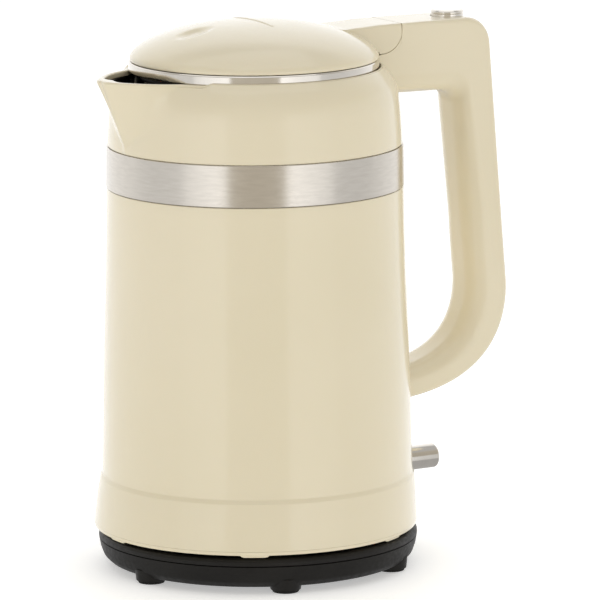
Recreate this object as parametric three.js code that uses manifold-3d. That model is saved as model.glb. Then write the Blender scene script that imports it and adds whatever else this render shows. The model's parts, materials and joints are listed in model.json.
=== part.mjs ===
// A cordless electric jug kettle with a double wall, standing on its round power base.
// Millimetres, +Z up. Z = 0 is the table. The handle points to +X and the spout to -X.
// Inside the group every radius is measured from the kettle's own upright axis.

import * as THREE from 'three';
import { mergeVertices } from 'three/addons/utils/BufferGeometryUtils.js';
import Module from 'manifold-3d';

const wasm = await Module();
wasm.setup();

// ---------- Driving dimensions ----------

const GAP = 0.3;                       // clearance between pieces that touch
const SPOUT_REACH = 84.5;              // spout tip, from the axis
const HANDLE_REACH = 135.5;            // furthest point of the handle, from the axis
const AXIS_X = (SPOUT_REACH - HANDLE_REACH) / 2;

const TRAY_FLOOR = 3.2;                // underside of the power base
const BASE_SEAM = [14, 14.4];          // top of the base's tray and bottom of its cover
const BASE_TOP = 18.2;
const BASE_RADIUS = 78;
const FOOT_COUNT = 6;
const FOOT_CIRCLE = 68.5;
const FOOT_TURN = 11.4;                // degrees from +X to the first foot

const SHELL_BOTTOM = 21.9;
const SHELL_TOP = 243.9;
const SKIRT_TOP = 46.6;                // soft ledge where the skirt meets the wall
const SKIRT_LEAN = 0.05;               // the skirt leans towards the spout, mm per mm of drop
const BAND_LOW = 187.3;
const BAND_HIGH = 207.3;

const VESSEL_BOTTOM = 56;
const VESSEL_RADIUS = 60.2;
const MOUTH_RADIUS = 58.3;
const VESSEL_TOP = 243;

const RIM_LIFT = 0.01;                 // the spout's rim rises this much per mm towards its tip
const RIM_START = 54;                  // from here outwards
const RIM_TIP = SHELL_TOP + RIM_LIFT * (SPOUT_REACH - RIM_START);
const SPOUT_FOOT = 209;                // height where the spout grows out of the wall
const SPOUT_NOSE = [1.5, 5.5];         // radius of the spout's ridge, at its foot and at its rim

const RING_LOW = 244.3;                // bright ring round the lid
const RING_HIGH = 248.3;
const LID_EDGE = 248.9;
const LID_SHOULDER = 250;
const LID_RADIUS = 60.4;
const DOME_RISE = 17.6;
const DOME_POWER = 0.625;

const HANDLE_WIDTH = 29;
const HANDLE_TOP = 262;
const PIVOT = [63.4, 259.3];           // lid hinge, X and Z
const LID_END_RADIUS = 11.4;           // the lid's arm ends in an arc about the hinge
const CUP_RADIUS = 11.9;               // and turns in this hollow of the handle
const LUG_HALF = 4;                    // half width of the hinge lug

const BUTTON_X = 109.2;
const BUTTON_RADIUS = 8;
const BUTTON_TOP = 265.6;
const SHELF = 256.6;                   // floor under the button
const CHANNEL = [248.5, 254.5];        // height of the latch's channel in the handle

const LEVER_PIVOT = [65, 42.5];
const LEVER_RADIUS = 5.2;
const LEVER_TIP = 101;

const ROUND = 32;                      // facets on a large round piece
const SMALL = 10;                      // facets on a small one
const TAU = Math.PI * 2;

// ---------- Materials ----------

const finish = (color, roughness, metalness = 0) =>
  () => new THREE.MeshStandardMaterial({ color, roughness, metalness });

const cream = finish(0xe2d7ba, 0.22);
const chrome = finish(0xdcdad6, 0.08, 1);
const brushedSteel = finish(0xbeb6aa, 0.34, 1);
const vesselSteel = finish(0xb8b8b6, 0.25, 1);
const blackPlastic = finish(0x2c2b26, 0.5);
const greyPlastic = finish(0x6c6a66, 0.6);
const rubber = finish(0x1d1d1c, 0.85);
const silicone = finish(0xd8d4cb, 0.7);
const brass = finish(0xb8964e, 0.3, 1);
const aluminium = finish(0xa9abad, 0.4, 1);
const springSteel = finish(0x9a9a98, 0.3, 1);

// ---------- Solids ----------

// A geometry as a solid with shared vertices and its faces pointing out.
function solid(geometry) {
  const bare = new THREE.BufferGeometry();
  bare.setAttribute('position', geometry.getAttribute('position'));
  bare.setIndex(geometry.getIndex());
  const merged = mergeVertices(bare, 1e-4);
  const vertProperties = Float32Array.from(merged.getAttribute('position').array);
  const index = merged.getIndex().array;
  const corner = (i) => new THREE.Vector3().fromArray(vertProperties, 3 * i);
  const triangles = [];
  let volume = 0;
  for (let i = 0; i < index.length; i += 3) {
    const [a, b, c] = index.subarray(i, i + 3);
    if (a === b || b === c || c === a) continue;
    triangles.push([a, b, c]);
    volume += corner(a).dot(corner(b).cross(corner(c)));
  }
  if (volume < 0) triangles.forEach((triangle) => triangle.reverse());
  const triVerts = Uint32Array.from(triangles.flat());
  return new wasm.Manifold(new wasm.Mesh({ numProp: 3, vertProperties, triVerts }));
}

const join = (first, ...others) => others.reduce((whole, other) => whole.add(other), first);
const cut = (first, ...others) => others.reduce((whole, other) => whole.subtract(other), first);

// The largest body of a cut solid, without the slivers that a cut can leave beside it.
const largest = (made) => made.decompose().reduce((a, b) => (b.volume() > a.volume() ? b : a));

// A named mesh in its own material.
function piece(name, made, material, parent) {
  const { vertProperties, triVerts } = made.getMesh();
  const geometry = new THREE.BufferGeometry();
  geometry.setAttribute('position', new THREE.BufferAttribute(Float32Array.from(vertProperties), 3));
  geometry.setIndex(new THREE.BufferAttribute(Uint32Array.from(triVerts), 1));
  geometry.computeVertexNormals();
  const mesh = new THREE.Mesh(geometry, material());
  mesh.name = name;
  parent.add(mesh);
  return mesh;
}

// Turned about the Z axis from [radius, height] points, closed on the axis or on itself.
function turnedGeometry(profile, sides = ROUND) {
  const onAxis = profile[0][0] === 0 && profile.at(-1)[0] === 0;
  const closed = onAxis ? profile : [...profile, profile[0]];
  const points = closed.map(([r, z]) => new THREE.Vector2(r, z));
  return new THREE.LatheGeometry(points, sides).rotateX(Math.PI / 2);
}

const turned = (profile, sides) => solid(turnedGeometry(profile, sides));

function rod(radius, low, high, sides = SMALL) {
  return turned([[0, low], [radius, low], [radius, high], [0, high]], sides);
}

function rodAt(x, y, radius, low, high, sides = SMALL) {
  const profile = [[0, low], [radius, low], [radius, high], [0, high]];
  return solid(turnedGeometry(profile, sides).translate(x, y, 0));
}

function rodAlongY(x, z, radius, half, sides = SMALL) {
  const geometry = new THREE.CylinderGeometry(radius, radius, 2 * half, sides);
  return solid(geometry.translate(x, 0, z));
}

function rodAlongX(x0, x1, z, radius, sides = SMALL) {
  const geometry = new THREE.CylinderGeometry(radius, radius, x1 - x0, sides);
  return solid(geometry.rotateZ(Math.PI / 2).translate((x0 + x1) / 2, 0, z));
}

function block(x0, x1, halfY, z0, z1) {
  const geometry = new THREE.BoxGeometry(x1 - x0, 2 * halfY, z1 - z0);
  return solid(geometry.translate((x0 + x1) / 2, 0, (z0 + z1) / 2));
}

function outline(points) {
  return new THREE.Shape(points.map(([x, z]) => new THREE.Vector2(x, z)));
}

// A slab across Y of an outline drawn in X and Z, with its edges eased by `bevel`.
function slab(shape, width, bevel = 0) {
  const depth = width - 2 * bevel;
  const points = shape.getPoints(10);
  const apart = points.filter((point, i) => point.distanceTo(points.at(i - 1)) > 0.01);
  const geometry = new THREE.ExtrudeGeometry(new THREE.Shape(apart), {
    depth,
    bevelEnabled: bevel > 0,
    bevelSize: bevel,
    bevelThickness: bevel,
    bevelOffset: -bevel,
    bevelSegments: 1,
  });
  return solid(geometry.rotateX(Math.PI / 2).translate(0, depth / 2, 0));
}

const degrees = (angle) => angle * Math.PI / 180;
const lerp = (a, b, t) => a + (b - a) * t;
const polar = (radius, angle) => [radius * Math.cos(angle), radius * Math.sin(angle)];

function aroundAxis(mesh, radius, angle, height = 0) {
  mesh.position.set(...polar(radius, angle), height);
  mesh.rotation.z = angle;
}

// A slotted screw standing on Z = 0 with its head below.
function screw(headRadius, shankRadius, length) {
  const head = 1.6;
  const body = turned([[0, -head], [headRadius, -head], [headRadius, 0], [shankRadius, 0],
    [shankRadius, length], [0, length + shankRadius]], 8);
  return cut(body, block(-headRadius, headRadius, 0.4, -2 * head, -head * 0.5));
}

// ---------- Power base ----------

const SCREW_CIRCLE = 50;
const screwAngles = [60, 180, 300].map(degrees);
const footAngles = Array.from({ length: FOOT_COUNT }, (_, i) => degrees(FOOT_TURN + 60 * i));
const GLAND_HEIGHT = 10;

function baseTray() {
  let tray = turned([
    [0, TRAY_FLOOR], [68, TRAY_FLOOR], [72.6, 3.8], [75.4, 6.2], [77.2, 10],
    [BASE_RADIUS - 0.2, BASE_SEAM[0]], [75.4, BASE_SEAM[0]], [74.8, 10.5], [73, 7.4], [70.5, 5.8],
    [0, 5.8],
  ]);
  for (const angle of footAngles) {
    const [x, y] = polar(FOOT_CIRCLE, angle);
    const boss = turnedGeometry([[0, 1.2], [7.4, 1.2], [8, 6.6], [0, 6.6]], 8);
    tray = join(tray, solid(boss.translate(x, y, 0)));
  }
  for (const angle of screwAngles) {
    const [x, y] = polar(SCREW_CIRCLE, angle);
    tray = cut(tray, rodAt(x, y, 1.8, 0, 8), rodAt(x, y, 3.6, 0, TRAY_FLOOR + 0.8));
  }
  return cut(tray, rodAlongX(64, 73.4, GLAND_HEIGHT, 4.6), rodAlongX(73, 82, GLAND_HEIGHT, 3.6));
}

function baseCover() {
  const wall = 2.2;
  let cover = turned([
    [24, BASE_TOP - wall], [74.8, BASE_TOP - wall], [75.6, BASE_SEAM[1]], [BASE_RADIUS, BASE_SEAM[1]],
    [BASE_RADIUS - 0.2, 16.2], [77, 17.6], [75.8, BASE_TOP], [17.6, BASE_TOP],
    [17.6, 14.6], [19.8, 14.6], [19.8, BASE_TOP - wall],
  ]);
  for (const angle of screwAngles) {
    const [x, y] = polar(SCREW_CIRCLE, angle);
    cover = cut(join(cover, rodAt(x, y, 4, 6.2, BASE_TOP - 1)), rodAt(x, y, 1.8, 6, 15.5));
  }
  return cover;
}

// The round post that carries the current, so that the kettle can be put down at any angle.
function connectorPost() {
  return turned([
    [2.4, 6.2], [24, 6.2], [24, 9], [17.2, 14], [17.2, 29], [16, 31], [13.2, 31], [13.2, 22],
    [10.6, 22], [10.6, 33], [9.4, 34.4], [5.6, 34.4], [5.6, 24], [2.4, 24],
  ], 20);
}

function addPowerBase(parent) {
  piece('base_tray', baseTray(), blackPlastic, parent);
  piece('base_cover', baseCover(), blackPlastic, parent);
  piece('connector_post', connectorPost(), blackPlastic, parent);
  piece('contact_pin', turned([[0, 7], [2, 7], [2, 31], [1.2, 32.4], [0, 32.8]], 8), brass, parent);
  const innerRing = [[4.1, 24.4], [5.2, 24.4], [5.2, 33], [4.1, 33]];
  const outerRing = [[11, 22.4], [12.2, 22.4], [12.2, 30], [11, 30]];
  piece('contact_ring_inner', turned(innerRing, 16), brass, parent);
  piece('contact_ring_outer', turned(outerRing, 20), brass, parent);
  piece('terminal_block', block(32, 54, 8, 6.2, 13.4), greyPlastic, parent);

  const sleeve = turnedGeometry([[1.7, 0], [3.9, 0], [3.9, 2.4], [3.2, 2.8], [3.2, 8.4], [4.4, 8.8],
    [3.6, 14], [1.7, 14]], SMALL).rotateY(Math.PI / 2);
  piece('cord_gland', solid(sleeve), rubber, parent).position.set(70.4, 0, GLAND_HEIGHT);

  footAngles.forEach((angle, i) => {
    const pad = turned([[0, 0], [6.2, 0], [6.6, 0.5], [6.6, 1.2 - GAP], [0, 1.2 - GAP]], 12);
    aroundAxis(piece(`base_foot_${i + 1}`, pad, rubber, parent), FOOT_CIRCLE, angle);
  });
  screwAngles.forEach((angle, i) => {
    const mesh = piece(`base_screw_${i + 1}`, screw(3.2, 1.4, 9), springSteel, parent);
    aroundAxis(mesh, SCREW_CIRCLE, angle, TRAY_FLOOR + 0.8 - GAP);
  });
}

// ---------- Kettle walls ----------

const COVER_SCREW_CIRCLE = 71;
const coverScrewAngles = [40, 160, 280].map(degrees);

// Outside of the shell from the skirt's edge to the mouth, as [radius, height].
const shellOutside = [
  [79, SHELL_BOTTOM], [78, 36], [77.2, 42.8], [75.8, SKIRT_TOP], [75.6, 57], [74.3, 110], [73, 145],
  [72.1, BAND_LOW - GAP], [71.1, BAND_LOW - GAP], [70.8, BAND_HIGH + GAP], [71.6, BAND_HIGH + GAP],
  [70.6, 224], [70, 229.4], [68.6, 234.8], [66.2, 239.4], [61.6, SHELL_TOP],
];
const shellInside = [
  [76.4, SHELL_BOTTOM], [75.4, 36], [73.3, SKIRT_TOP], [72.8, 60], [70.4, 145], [68.2, 208],
  [67.4, 228], [64.2, 237], [58.9, 242.2],
];

// The skirt grows slightly further out on the spout's side.
function leanSkirt(geometry) {
  const position = geometry.getAttribute('position');
  for (let i = 0; i < position.count; i += 1) {
    const drop = Math.max(0, SKIRT_TOP - position.getZ(i));
    position.setX(i, position.getX(i) - SKIRT_LEAN * drop);
  }
  return geometry;
}

const spoutRise = (z) => (z - 210) / (RIM_TIP - 210);
const ridgeReach = (z) => lerp(71.3, SPOUT_REACH, spoutRise(z));
const flankAngle = (z) => degrees(lerp(75, 43, spoutRise(z)));
const LIP = 0.12;                      // extra thickness of the spout's tip, as a share of its throw

// The spout's outline at one height, moved in by `inset`: a rounded nose and two straight flanks.
function spoutSection(z, inset) {
  const open = Math.PI / 2 - flankAngle(z);
  const round = lerp(...SPOUT_NOSE, spoutRise(z));
  const straight = (ridgeReach(z) - round) * Math.cos(open) + round;
  const lip = inset > 0 ? LIP * (ridgeReach(z) - straight) : 0;
  const flank = straight - inset;
  const tip = ridgeReach(z) - inset - lip;
  const centre = (tip - flank) / (1 - Math.cos(open));
  const nose = tip - centre;
  const wall = Math.min(70, lerp(70, 60, (z - 230) / 14)) - inset;
  const meet = open - Math.acos(Math.min(1, flank / wall));
  const arc = [-1, -0.5, 0, 0.5, 1].map((t) => {
    const angle = t * open;
    return [-centre - nose * Math.cos(angle), nose * Math.sin(angle)];
  });
  const side = Math.max(meet, degrees(1));
  const far = [-wall * Math.cos(side), wall * Math.sin(side)];
  return [[0, 0], [far[0], -far[1]], ...arc, far];
}

function spoutBody(inset, floor = SPOUT_FOOT) {
  const levels = Array.from({ length: 8 }, (_, i) => SPOUT_FOOT + 6 * i);
  const rings = levels.map((z) => spoutSection(z, inset).map(([x, y]) => new THREE.Vector3(x, y, z)));
  const count = rings[0].length;
  const index = [];
  for (let k = 0; k + 1 < rings.length; k += 1) {
    for (let i = 0; i < count; i += 1) {
      const [a, b] = [k * count + i, k * count + (i + 1) % count];
      index.push(a, b, b + count, a, b + count, a + count);
    }
  }
  const last = (rings.length - 1) * count;
  for (let i = 1; i + 1 < count; i += 1) index.push(0, i + 1, i, last, last + i, last + i + 1);
  const geometry = new THREE.BufferGeometry().setFromPoints(rings.flat());
  geometry.setIndex(index);
  return cut(solid(geometry), block(-100, 10, 80, SPOUT_FOOT - 10, floor));
}

// Everything above the spout's rim.
function aboveRim(drop = 0) {
  const [length, height] = [60, 30];
  const geometry = new THREE.BoxGeometry(length, 140, height);
  geometry.translate(-length / 2, 0, height / 2).rotateY(Math.atan(RIM_LIFT));
  return join(solid(geometry.translate(-RIM_START, 0, SHELL_TOP - drop)),
    block(-RIM_START - 1, -20, 60, SHELL_TOP - drop, SHELL_TOP + 12));
}

const STEAM_HIGH = 233;                // height of the steam tube at the kettle's mouth
const STEAM_LOW = 84;                  // and where it comes back into the wall

function outerShell() {
  const outside = solid(leanSkirt(turnedGeometry(
    [[0, SHELL_BOTTOM], ...shellOutside, [0, SHELL_TOP]])));
  const inside = solid(leanSkirt(turnedGeometry(
    [[0, SHELL_BOTTOM - 1], [76.4, SHELL_BOTTOM - 1], ...shellInside, [58.9, 260], [0, 260]])));
  let shell = cut(join(outside, spoutBody(0)), inside, spoutBody(2), aboveRim());
  for (const angle of coverScrewAngles) {
    const [x, y] = polar(COVER_SCREW_CIRCLE, angle);
    shell = cut(join(shell, rodAt(x, y, 4.8, 25, 44)), rodAt(x, y, 1.7, 24, 35));
  }
  return cut(shell, block(70, 82, 5.9, 33.6, 48.4),
    rodAlongX(64, 80, STEAM_HIGH, 3), rodAlongX(64, 80, STEAM_LOW - 1.6, 4.6));
}

function innerVessel() {
  const wall = 1;
  const body = turned([
    [0, VESSEL_BOTTOM], [57.8, VESSEL_BOTTOM], [VESSEL_RADIUS, 57.6], [VESSEL_RADIUS, 226],
    [MOUTH_RADIUS, 236], [MOUTH_RADIUS, VESSEL_TOP], [MOUTH_RADIUS - wall, VESSEL_TOP],
    [MOUTH_RADIUS - wall, 236], [VESSEL_RADIUS - wall, 226],
    [VESSEL_RADIUS - wall, VESSEL_BOTTOM + wall], [0, VESSEL_BOTTOM + wall],
  ]);
  return cut(body, spoutBody(3.6, 214), rodAlongX(54, 64, STEAM_HIGH, 2.4));
}

// Dark channel that carries the water from the vessel's notch to the tip.
function spoutLiner() {
  return largest(cut(spoutBody(2.5, 212), spoutBody(3.6, 214),
    rod(VESSEL_RADIUS + 1, 200, 260, ROUND), aboveRim(0.5)));
}

// A panel bent round the axis between two radii, centred on the spout's side.
function bentPanel(inner, outer, halfAngle, low, high) {
  const shape = new THREE.Shape();
  shape.absarc(0, 0, outer, Math.PI - halfAngle, Math.PI + halfAngle, false);
  shape.absarc(0, 0, inner, Math.PI + halfAngle, Math.PI - halfAngle, true);
  const geometry = new THREE.ExtrudeGeometry(shape,
    { depth: high - low, curveSegments: 10, bevelEnabled: false });
  return solid(geometry.translate(0, 0, low));
}

const FILTER = { inner: 54.8, outer: 57, half: degrees(37), low: 211, high: 234.5 };

function addFilter(parent) {
  const { inner, outer, half, low, high } = FILTER;
  const window = bentPanel(inner - 1, outer + 1, half - degrees(3), low + 2.4, high - 2.4);
  const groove = bentPanel(inner + 0.6, outer - 0.6, half - degrees(2), low + 1.4, high - 1.4);
  let frame = cut(bentPanel(inner, outer, half, low, high), window, groove);
  for (const turn of [-12, 12]) {
    const rib = new THREE.BoxGeometry(0.8, 1.6, high - low - 2);
    rib.translate(-inner - 0.2, 0, (low + high) / 2).rotateZ(degrees(turn));
    frame = join(frame, solid(rib));
  }
  piece('filter_frame', frame, greyPlastic, parent);
  const weave = bentPanel(inner + 0.9, outer - 0.9, half - degrees(2.4), low + 1.8, high - 1.8);
  piece('filter_mesh', weave, vesselSteel, parent);
}

const TAB_COUNT = 6;

// The lip under the skirt, with the low tabs that the kettle stands on.
function footRing() {
  let ring = solid(leanSkirt(turnedGeometry([[75.4, 20], [78.2, 20], [78.8, 20.6],
    [78.8, SHELL_BOTTOM - GAP], [75.4, SHELL_BOTTOM - GAP]])));
  for (let i = 0; i < TAB_COUNT; i += 1) {
    const tab = new THREE.BoxGeometry(2.4, 15, 2);
    ring = join(ring, solid(tab.translate(76.2, 0, 19.8).rotateZ(i * TAU / TAB_COUNT)
      .translate(-SKIRT_LEAN * 25, 0, 0)));
  }
  return ring;
}

function bottomCover() {
  let cover = turned([[28, 22.2], [74.9, 22.2], [74.9, 24.4], [30.4, 24.4], [30.4, 30], [28, 30]]);
  for (const angle of coverScrewAngles) {
    const [x, y] = polar(COVER_SCREW_CIRCLE, angle);
    cover = cut(cover, rodAt(x, y, 1.7, 20, 26));
  }
  return cover;
}

function steelBand() {
  return turned([[71.4, BAND_LOW], [72.4, BAND_LOW], [72, BAND_HIGH], [71.1, BAND_HIGH]]);
}

function addKettleBody(parent) {
  piece('outer_shell', outerShell(), cream, parent);
  piece('steel_band', steelBand(), brushedSteel, parent);
  piece('foot_ring', footRing(), cream, parent);
  piece('bottom_cover', bottomCover(), blackPlastic, parent);
  coverScrewAngles.forEach((angle, i) => {
    const mesh = piece(`bottom_screw_${i + 1}`, screw(3, 1.3, 9), springSteel, parent);
    aroundAxis(mesh, COVER_SCREW_CIRCLE, angle, 22 - GAP);
  });
  piece('inner_vessel', innerVessel(), vesselSteel, parent);
  piece('spout_liner', spoutLiner(), blackPlastic, parent);
  const seal = [[58.7, 236.6], [60.8, 236.6], [60.8, 239.6], [58.7, 239.6]];
  piece('mouth_seal', cut(turned(seal), spoutBody(1)), silicone, parent);
  addFilter(parent);
}

// ---------- Heater, thermostat and switch ----------

function heatingElement() {
  const radius = 40;
  const tube = new THREE.Shape().absarc(0, 0, 3.2, 0, TAU, false);
  const turn = (t) => degrees(30 + 300 * t);
  const points = Array.from({ length: 13 }, (_, i) => {
    const angle = turn(i / 12);
    return new THREE.Vector3(radius * Math.cos(angle), radius * Math.sin(angle), 48.6);
  });
  return solid(new THREE.ExtrudeGeometry(tube, {
    steps: 24, curveSegments: 3, bevelEnabled: false, extrudePath: new THREE.CatmullRomCurve3(points),
  }));
}

// Centre line of the steam tube: from the mouth, down inside the handle, back to the switch.
const steamRoute = [
  [60.9, STEAM_HIGH], [76, STEAM_HIGH], [92, STEAM_HIGH], [105, 232.6], [113.6, 229.4], [117.8, 221],
  [119.4, 200], [121.8, 170], [124.4, 140], [124.8, 125], [121.4, 110], [113, 97.6], [101, 90],
  [88, 86.2], [78, STEAM_LOW], [71, 81.4], [67.2, 76], [66.6, 68], [66.6, 59.4],
];

function steamTube() {
  const wall = new THREE.Shape().absarc(0, 0, 2.3, 0, TAU, false);
  wall.holes.push(new THREE.Path().absarc(0, 0, 1.5, 0, TAU, true));
  const path = new THREE.CatmullRomCurve3(steamRoute.map(([x, z]) => new THREE.Vector3(x, 0, z)));
  return solid(new THREE.ExtrudeGeometry(wall,
    { steps: 30, curveSegments: 3, bevelEnabled: false, extrudePath: path }));
}

function switchHousing() {
  const body = block(61.2, 71.8, 10, 32, 56.4);
  return cut(body, block(50, 80, 5.9, 34.4, 49),
    rodAlongY(...LEVER_PIVOT, 1.9, 8.6));
}

function addInnards(parent) {
  piece('heater_plate', rod(52, VESSEL_BOTTOM - 3.8, VESSEL_BOTTOM - GAP, ROUND), aluminium, parent);
  piece('heating_element', heatingElement(), springSteel, parent);
  piece('control_unit', block(-24, 24, 19, 40.8, 51.8), greyPlastic, parent);
  piece('steam_tube', steamTube(), silicone, parent);
  piece('steam_disc', rodAt(66.6, 0, 5, 57, 57.8), brass, parent);
  piece('switch_housing', switchHousing(), blackPlastic, parent);
  piece('lever_pin', rodAlongY(...LEVER_PIVOT, 1.4, 8), springSteel, parent);
}

// The power lever: a bright round bar outside, and the rocker that it turns inside.
function powerLever() {
  const [, z] = LEVER_PIVOT;
  const edge = 1;
  const bar = turnedGeometry([
    [0, 74], [LEVER_RADIUS, 74], [LEVER_RADIUS, LEVER_TIP - edge],
    [LEVER_RADIUS - edge * 0.3, LEVER_TIP - edge * 0.3], [LEVER_RADIUS - edge, LEVER_TIP],
    [0, LEVER_TIP]], 24).rotateY(Math.PI / 2);
  return cut(solid(bar.translate(0, 0, z)), rodAlongX(70, 88, z, 2.6, 12));
}

function leverRocker() {
  const [x, z] = LEVER_PIVOT;
  const hub = rodAlongY(x, z, 3.6, 5);
  const stem = rodAlongX(x, 87, z, 2.2, 12);
  const arm = block(54, x, 2.6, z - 1.8, z + 1);
  return cut(join(hub, stem, arm), rodAlongY(x, z, 1.8, 9));
}

function addLever(parent) {
  piece('power_lever', powerLever(), chrome, parent);
  piece('lever_rocker', leverRocker(), blackPlastic, parent);
  piece('contact_plunger', block(54.2, 57.4, 2.2, 44, 48.6), greyPlastic, parent);
}

// ---------- Handle ----------

const CORNER = 13;                     // radius of the handle's upper corner

// Side view of the handle.
function handleOutline() {
  const cornerX = HANDLE_REACH - 22.9;
  const shape = new THREE.Shape();
  shape.moveTo(56, HANDLE_TOP);
  shape.lineTo(cornerX, HANDLE_TOP);
  shape.absarc(cornerX, HANDLE_TOP - CORNER, CORNER, Math.PI / 2, degrees(5), true);
  shape.lineTo(HANDLE_REACH, 128);
  shape.bezierCurveTo(HANDLE_REACH + 0.4, 100, 118, 80.5, 82.3, 75.9);
  shape.lineTo(66, 73.4);
  shape.lineTo(66, 88);
  shape.lineTo(77, 90.5);
  shape.bezierCurveTo(103, 94, 116.5, 107, 116.2, 130);
  shape.lineTo(109.9, 221);
  shape.absarc(104.9, 221.6, 5, 0, Math.PI / 2, false);
  shape.lineTo(60, 227);
  shape.lineTo(56, 232);
  return shape;
}

// The duct inside the handle, which holds the steam tube.
function handleDuct() {
  const shape = new THREE.Shape();
  shape.moveTo(56, 236.6);
  shape.lineTo(108, 236.6);
  shape.bezierCurveTo(121, 236.6, 122, 230, 122.6, 221);
  shape.lineTo(130.4, 128);
  shape.bezierCurveTo(130.4, 102, 112, 86.5, 82, 80.4);
  shape.lineTo(60, 77);
  shape.lineTo(60, 83.4);
  shape.lineTo(78, 87.4);
  shape.bezierCurveTo(104, 91, 121, 104, 120.4, 130);
  shape.lineTo(114, 221);
  shape.bezierCurveTo(113.4, 226.5, 111, 229.6, 104, 229.6);
  shape.lineTo(56, 229.6);
  return slab(shape, 13);
}

// Strip let into the back of the handle, which closes the duct.
function backStrip(shrink) {
  const [low, high] = [116 + shrink, 236 - shrink];
  const back = (z) => lerp(HANDLE_REACH, 126, (z - 128) / 112);
  const shape = outline([
    [back(high) - 2.2 + shrink, high], [back(high) + 2 - 2 * shrink, high],
    [back(128) + 2 - 2 * shrink, 128], [back(low) + 2 - 2 * shrink, low],
    [back(128) - 2.4 + shrink, low], [back(128) - 2.2 + shrink, 128],
  ]);
  return slab(shape, 21 - 2 * shrink);
}

// The shell's outside as one solid, grown by the clearance, for the handle to sit against.
function shellClearance() {
  const outside = shellOutside
    .filter(([, z]) => z < BAND_LOW - 1 || z > BAND_HIGH + 1)
    .map(([r, z]) => [r + GAP, z + (z > 225 ? GAP : 0)]);
  return turned([[0, SHELL_BOTTOM], ...outside, [62, SHELL_TOP + GAP], [62, 260], [0, 260]]);
}

// The handle before its hollows: its upper end is scooped out for the lid's arm.
function handleSolid() {
  const [px, pz] = PIVOT;
  return cut(slab(handleOutline(), HANDLE_WIDTH, 2.6), shellClearance(),
    rodAlongY(px, pz, CUP_RADIUS, HANDLE_WIDTH, 48),
    block(50, px, HANDLE_WIDTH, pz - CUP_RADIUS, HANDLE_TOP + 1));
}

function handleShell(whole) {
  const [low, high] = CHANNEL;
  const window = outline([[110, 232], [140, 232], [140, 120], [110, 120]]);
  return cut(whole,
    handleDuct(),
    backStrip(0),
    slab(window, 13).intersect(backWindowZone()),
    block(60, 118.4, 5.6, low, high),
    block(BUTTON_X - 4.6, BUTTON_X + 5, 3, 246.2, high),
    block(65, 69.6, LUG_HALF + GAP, 241.5, 251),
    rodAt(BUTTON_X, 0, BUTTON_RADIUS + GAP, SHELF, 280, 20),
    rodAt(BUTTON_X, 0, 3.1, low, SHELF + 1));
}

// The stretch behind the duct where the back strip opens it.
function backWindowZone() {
  return slab(outline([[118, 230], [138, 230], [144, 122], [124, 122]]), 17);
}

// ---------- Hinge, latch and button ----------

function hingeBracket() {
  const [px, pz] = PIVOT;
  const eye = rodAlongY(px, pz, 1.9, LUG_HALF);
  const lean = degrees(-75);
  const side = 1.5;
  const foot = [px + 13 * Math.cos(lean), pz + 13 * Math.sin(lean)];
  const across = [-side * Math.sin(lean), side * Math.cos(lean)];
  const arm = slab(outline([
    [px - across[0], pz - across[1]], [foot[0] - across[0], foot[1] - across[1]],
    [foot[0] + across[0], foot[1] + across[1]], [px + across[0], pz + across[1]],
  ]), 2 * LUG_HALF);
  return cut(join(eye, arm, block(65.3, 69.3, LUG_HALF, 241.8, 247.4)), rodAlongY(px, pz, 1.2, 6));
}

// Slides back when the button's ramp goes down, and frees the lid.
function latchSlider() {
  const [low, high] = [CHANNEL[0] + 0.5, CHANNEL[1] - 0.5];
  const bar = slab(outline([[72.4, low], [115.6, low], [115.6, high], [74.8, high]]), 10);
  const slot = outline([
    [BUTTON_X - 5.4, low - 1], [BUTTON_X - 0.6, low - 1], [BUTTON_X + 3.4, low + 3],
    [BUTTON_X + 3.4, high + 1], [BUTTON_X - 5.4, high + 1],
  ]);
  return cut(bar, slab(slot, 6.4));
}

function releaseButton() {
  return turned([
    [7, SHELF + 2.8], [BUTTON_RADIUS, SHELF + 2.8], [BUTTON_RADIUS, 263.2], [BUTTON_RADIUS - 0.4, 263.5],
    [BUTTON_RADIUS, 263.8], [BUTTON_RADIUS, BUTTON_TOP - 0.8], [BUTTON_RADIUS - 0.8, BUTTON_TOP],
    [0, BUTTON_TOP + 0.3], [0, BUTTON_TOP - 1.8], [7, BUTTON_TOP - 1.8],
  ], 20);
}

function buttonStem() {
  const top = BUTTON_TOP - 1.8 - GAP;
  const stem = rod(2.6, 252, top);
  const ramp = slab(outline([
    [-2.4, 249.3], [-0.6, 249.3], [2.6, 252.5], [2.6, 254.2], [-2.4, 254.2],
  ]), 5);
  return join(stem, ramp);
}

class Coil extends THREE.Curve {
  constructor(radius, height, turns) {
    super();
    Object.assign(this, { radius, height, turns });
  }

  getPoint(t, target = new THREE.Vector3()) {
    const angle = t * this.turns * TAU;
    return target.set(...polar(this.radius, angle), t * this.height);
  }
}

function buttonSpring() {
  const wire = new THREE.Shape().absarc(0, 0, 0.4, 0, TAU, false);
  const path = new Coil(4.6, 5.8, 3);
  return solid(new THREE.ExtrudeGeometry(wire,
    { steps: 30, curveSegments: 2, bevelEnabled: false, extrudePath: path }));
}

function addHandle(parent) {
  const whole = handleSolid();
  piece('handle_shell', handleShell(whole), cream, parent);
  piece('handle_back_strip', whole.intersect(backStrip(GAP)), cream, parent);
  piece('hinge_bracket', hingeBracket(), brushedSteel, parent);
  piece('hinge_pin', rodAlongY(...PIVOT, 0.9, 11.6, 12), springSteel, parent);
  piece('latch_slider', latchSlider(), greyPlastic, parent);
  piece('release_button', releaseButton(), chrome, parent).position.x = BUTTON_X;
  piece('button_stem', buttonStem(), blackPlastic, parent).position.x = BUTTON_X;
  piece('button_spring', buttonSpring(), springSteel, parent).position.set(BUTTON_X, 0, SHELF + 0.75);
}

// ---------- Lid ----------

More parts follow.
